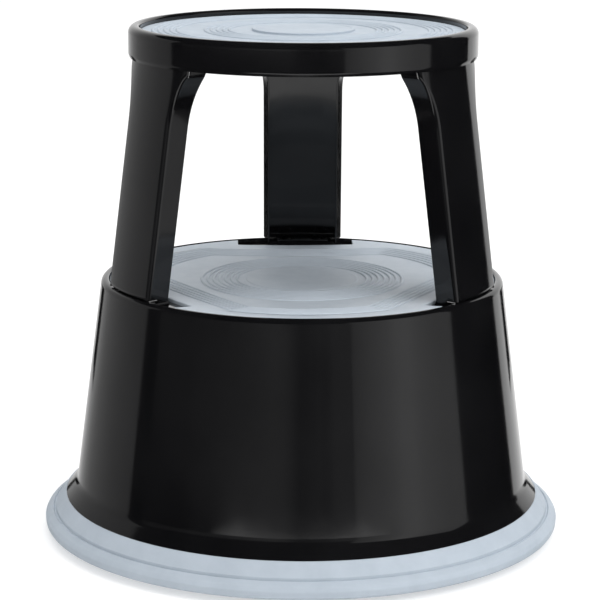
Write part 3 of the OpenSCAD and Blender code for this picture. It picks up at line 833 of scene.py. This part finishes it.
def make_tyre_and_core(side, turn):
    """A wheel's moulded core with spokes and its grooved rubber tyre."""
    low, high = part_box("tyre_" + side)
    axle_low, axle_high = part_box("axle_" + side)
    centre = (axle_low + axle_high) / 2
    wheel_r = (high.z - low.z) / 2
    centre.z = (low.z + high.z) / 2
    half, core_r = 0.009, wheel_r - 0.004
    place = (Matrix.Translation(centre) @ Matrix.Rotation(math.radians(turn), 4, "Z")
             @ Matrix.Rotation(math.radians(90), 4, "Y"))
    tyre = rounded([
        (core_r, -half, 0.0004),
        (wheel_r, -half, 0.003),
        (wheel_r, -0.0018, 0.0005),
        (wheel_r - 0.0008, -0.0012, 0.0004),
        (wheel_r - 0.0008, 0.0012, 0.0004),
        (wheel_r, 0.0018, 0.0005),
        (wheel_r, half, 0.003),
        (core_r, half, 0.0004),
    ], closed=True)
    bm = bmesh.new()
    spin(bm, tyre, 96, place)
    obj = new_object(bm, side + "_castor_tyre")
    flat_shading(obj)
    dress(obj, TYRE, "wheel_" + side, "tyre_" + side)
    hub, web = 0.0099, 0.0025
    core = rounded([
        (0.00406, -hub, 0.0003),
        (0.0090, -hub, 0.0008),
        (0.0105, -web, 0.0012),
        (core_r - 0.003, -web, 0.0012),
        (core_r - 0.002, -half + 0.001, 0.0006),
        (core_r, -half + 0.001, 0),
        (core_r, half - 0.001, 0),
        (core_r - 0.002, half - 0.001, 0.0006),
        (core_r - 0.003, web, 0.0012),
        (0.0105, web, 0.0012),
        (0.0090, hub, 0.0008),
        (0.00406, hub, 0.0003),
    ], closed=True)
    bm = bmesh.new()
    spin(bm, core, 96, place)
    obj = new_object(bm, side + "_castor_core")
    flat_shading(obj)
    dress(obj, DARK, "wheel_" + side, "wheel_core_" + side)


def make_spring(side):
    """Round wire wound up, its two end turns lying close."""
    low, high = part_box("spring_" + side)
    centre = (low + high) / 2
    wire_r, turns, close = 0.00112, 8, 1
    height = high.z - low.z
    coil_r = (high.x - low.x) / 2 - wire_r
    steps, sides = 28, 10
    open_h = height - 2 * wire_r - 4 * close * wire_r * 1.07
    bm = bmesh.new()
    rings = []
    for i in range(turns * steps + 1):
        u = i / steps
        a = 2 * math.pi * u
        closed = min(u, close) + max(u - turns + close, 0)
        opened = min(max(u - close, 0), turns - 2 * close) / (turns - 2 * close)
        z = low.z + wire_r + closed * wire_r * 2.14 + opened * open_h
        ring = []
        for k in range(sides):
            b = 2 * math.pi * k / sides
            r = coil_r + wire_r * math.cos(b)
            ring.append(bm.verts.new((
                centre.x + r * math.cos(a), centre.y + r * math.sin(a), z + wire_r * math.sin(b))))
        rings.append(ring)
    for one, two in zip(rings, rings[1:]):
        for k in range(sides):
            n = (k + 1) % sides
            bm.faces.new([one[k], two[k], two[n], one[n]])
    bm.faces.new(rings[0])
    bm.faces.new(rings[-1][::-1])
    bmesh.ops.recalc_face_normals(bm, faces=bm.faces)
    obj = new_object(bm, side + "_castor_spring", sharp=math.radians(60))
    dress(obj, ZINC, "plunger_" + side, "spring_" + side)
    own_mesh(obj)


CARRIED = {
    ZINC: ("cap_weld_studs", "cap_flange_nuts", "foot_nuts", "bracket_weld_studs", "bracket_nuts"),
}
CARRIED_EACH = {
    ZINC: ("bracket", "stem", "stem_clip", "fork", "axle"),
    NATURAL: ("guide_bush", "thrust_washer"),
}


def finish_cad_nodes():
    """Materials and softened edges for the pieces whose CAD shape stays."""
    chosen = [(n, m) for m, names in CARRIED.items() for n in names]
    chosen += [(n + "_" + s, m) for m, names in CARRIED_EACH.items() for n in names for s in CASTOR_TURNS]
    for name, material in chosen:
        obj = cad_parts[name]
        obj.data.materials.clear()
        obj.data.materials.append(material)
        weld = obj.modifiers.new("weld", "WELD")
        weld.merge_threshold = 0.000002
        soft_edges(obj, 0.00025)
        flat_shading(obj)


# ---------- studio ----------

def emitter(name, strength):
    """Material that glows by strength times the mesh's glow value."""
    m = bpy.data.materials.new(name)
    m.use_nodes = True
    nodes, links = m.node_tree.nodes, m.node_tree.links
    nodes.clear()
    glow = nodes.new("ShaderNodeAttribute")
    glow.attribute_name = "glow"
    light = nodes.new("ShaderNodeEmission")
    light.inputs["Strength"].default_value = strength
    out = nodes.new("ShaderNodeOutputMaterial")
    links.new(glow.outputs["Color"], light.inputs["Color"])
    links.new(light.outputs["Emission"], out.inputs["Surface"])
    return m


NEAR_R, FAR_R = 3.6, 12.0


def place_glow(bm, name):
    """Glowing stage piece from bm, out of the camera's sight."""
    mesh = bpy.data.meshes.new(name)
    bm.to_mesh(mesh)
    bm.free()
    obj = bpy.data.objects.new(name, mesh)
    bpy.context.scene.collection.objects.link(obj)
    mesh.materials.append(emitter(name, 1.0))
    obj.visible_camera = False
    obj.visible_shadow = False
    return obj


def make_panel(name, radius, low, high, glows):
    """Upright curved softbox: glows are (degrees right of the front, brightness)."""
    bm = bmesh.new()
    layer = bm.loops.layers.float_color.new("glow")
    fine = []
    for (a, one), (b, two) in zip(glows, glows[1:]):
        steps = max(1, round((b - a) / 4))
        fine += [(a + (b - a) * k / steps, one + (two - one) * k / steps) for k in range(steps)]
    fine.append(glows[-1])
    rows = []
    for degrees, glow in fine:
        a = math.radians(degrees - 90)
        x, y = radius * math.cos(a), radius * math.sin(a)
        rows.append((bm.verts.new((x, y, low)), bm.verts.new((x, y, high)), glow))
    for one, two in zip(rows, rows[1:]):
        face = bm.faces.new([one[0], one[1], two[1], two[0]])
        for loop, glow in zip(face.loops, (one[2], one[2], two[2], two[2])):
            loop[layer] = (glow, glow, glow, 1)
    place_glow(bm, name)


def stretch(glows, start, end):
    """The glows from start to end degrees, with the brightness at both worked out."""
    def at(x):
        a, one, b, two = next((*p, *q) for p, q in zip(glows, glows[1:]) if p[0] <= x <= q[0])
        return one + (two - one) * (x - a) / (b - a)
    return [(start, at(start))] + [g for g in glows if start < g[0] < end] + [(end, at(end))]


def make_backdrop(low, high, glows, gaps, gap_low, gap_high):
    """Softbox behind the stool, open between gap_low and gap_high across each gap."""
    cuts = [glows[0][0], *(a for gap in gaps for a in gap), glows[-1][0]]
    for i, (start, end) in enumerate(zip(cuts, cuts[1:])):
        spans = ((low, gap_low), (gap_high, high)) if i % 2 else ((low, high),)
        for k, (bottom, top) in enumerate(spans):
            make_panel(f"backdrop_{i}_{k}", NEAR_R, bottom, top, stretch(glows, start, end))


FLOOR_GLOW_Z = 0.001


def make_floor_glow(x, near_y, far_y, glow):
    """Bright floor in front of the stool, seen only in the enamel."""
    bm = bmesh.new()
    layer = bm.loops.layers.float_color.new("glow")
    places = ((-x, far_y), (x, far_y), (x, near_y), (-x, near_y))
    corners = [bm.verts.new((a, b, FLOOR_GLOW_Z)) for a, b in places]
    for loop in bm.faces.new(corners).loops:
        loop[layer] = (glow, glow, glow, 1)
    place_glow(bm, "floor_glow").visible_diffuse = False


FLOOR_GLOW = 0.45


def make_floor():
    """Plain pale floor, far wider than the view."""
    bm = bmesh.new()
    bmesh.ops.create_circle(bm, cap_ends=True, segments=96, radius=40)
    mesh = bpy.data.meshes.new("floor")
    bm.to_mesh(mesh)
    bm.free()
    floor = bpy.data.objects.new("floor", mesh)
    bpy.context.scene.collection.objects.link(floor)
    m, shader, where = start_material("pale_floor", 0.9)
    m.node_tree.links.new(
        ramp(m, noise(m, where, 3, 3), ((0.3, (0.60, 0.60, 0.60)), (0.7, (0.62, 0.62, 0.62)))),
        shader.inputs["Base Color"])
    shader.inputs["Specular IOR Level"].default_value = 0
    shader.inputs["Emission Color"].default_value = (1, 1, 1, 1)
    shader.inputs["Emission Strength"].default_value = FLOOR_GLOW
    mesh.materials.append(m)
    floor.visible_glossy = False


LIGHT_TARGET = Vector((0, 0, 0.2))


def area_light(name, place, size, power):
    """Round soft light at place, turned to the stool, unseen by camera and reflections."""
    data = bpy.data.lights.new(name, "AREA")
    data.shape = "DISK"
    data.size = size
    data.energy = power
    light = bpy.data.objects.new(name, data)
    light.location = place
    light.rotation_mode = "QUATERNION"
    light.rotation_quaternion = (LIGHT_TARGET - Vector(place)).to_track_quat("-Z", "Y")
    light.visible_camera = False
    light.visible_glossy = False
    bpy.context.scene.collection.objects.link(light)


# bottom and top of the panels, and of the gaps beside the back leg's reflection
NEAR_SPAN = (-1.6, 2.6)
FAR_SPAN = (-0.85, 4.5)
BACK_GAP_SPAN = (-0.62, -0.12)
# brightness of each panel at degrees right of the front
RIGHT_GLOWS = (
    (26, 0.36), (34, 0.52), (40, 0.63), (46, 0.75), (52, 0.92), (58, 0.94),
    (64, 0.78), (71, 0.66), (78, 0.56), (84, 0.52), (88.5, 0.48),
)
FRONT_GLOWS = (
    (-84, 0.06), (-62, 0.06), (-54, 0.1), (-44, 0.125), (-38, 0.16), (-26, 0.21), (-15, 0.27),
    (-9, 0.25), (-5, 0.17), (-3, 0.12), (0, 0.06), (1.5, 0.1), (2.5, 0.06), (5, 0.12),
    (6, 0.08), (9, 0.13), (11, 0.09), (15, 0.13), (17, 0.18), (26, 0.19),
)
BACK_GLOWS = (
    (134, 0.85), (145, 0.95), (156, 1.05), (180, 1.05), (190, 0.88), (198, 0.75),
    (206, 0.62), (213, 0.5), (219, 0.42), (225, 0.36), (267, 0.3),
)
BACK_GAPS = ((149, 158), (202, 211))


def make_studio():
    world = bpy.data.worlds.new("studio")
    bpy.context.scene.world = world
    world.use_nodes = True
    back = world.node_tree.nodes["Background"]
    back.inputs["Color"].default_value = (1, 1, 1, 1)
    back.inputs["Strength"].default_value = 1.0
    world.cycles_visibility.glossy = False
    make_floor()
    make_panel("right_softbox", NEAR_R, *NEAR_SPAN, RIGHT_GLOWS)
    make_panel("front_fill", FAR_R, *FAR_SPAN, FRONT_GLOWS)
    make_backdrop(*NEAR_SPAN, BACK_GLOWS, BACK_GAPS, *BACK_GAP_SPAN)
    make_floor_glow(0.45, -0.55, -0.85, 1.3)
    area_light("key_light", (2.2, -1.6, 2.6), 2.4, 40)
    area_light("top_light", (0, 0.5, 3.2), 3.0, 30)
    area_light("front_light", (0, -2.4, 1.0), 1.6, 8)
    bpy.context.scene.view_settings.view_transform = "Standard"


CAMERA_PLACE = (-0.0017, -1.9273, 0.6289)
CAMERA_LENS = 139.41
SENSOR_W = 36
LOOK_DOWN = 0.221
ROLL = 0.005


def make_camera():
    data = bpy.data.cameras.new("camera")
    data.sensor_width = SENSOR_W
    data.lens = CAMERA_LENS
    camera = bpy.data.objects.new("camera", data)
    camera.matrix_world = (
        Matrix.Translation(CAMERA_PLACE)
        @ Matrix.Rotation(math.pi / 2 - LOOK_DOWN, 4, "X")
        @ Matrix.Rotation(ROLL, 4, "Z")
    )
    bpy.context.scene.collection.objects.link(camera)
    bpy.context.scene.camera = camera


make_cap()
make_cap_mat()
for leg, leg_turn in LEG_TURNS.items():
    make_leg(leg, leg_turn)
make_drum()
make_step_mat()
make_ring()
make_foot_screws()
for castor, castor_turn in CASTOR_TURNS.items():
    make_tyre_and_core(castor, castor_turn)
    make_spring(castor)
finish_cad_nodes()
make_studio()
make_camera()
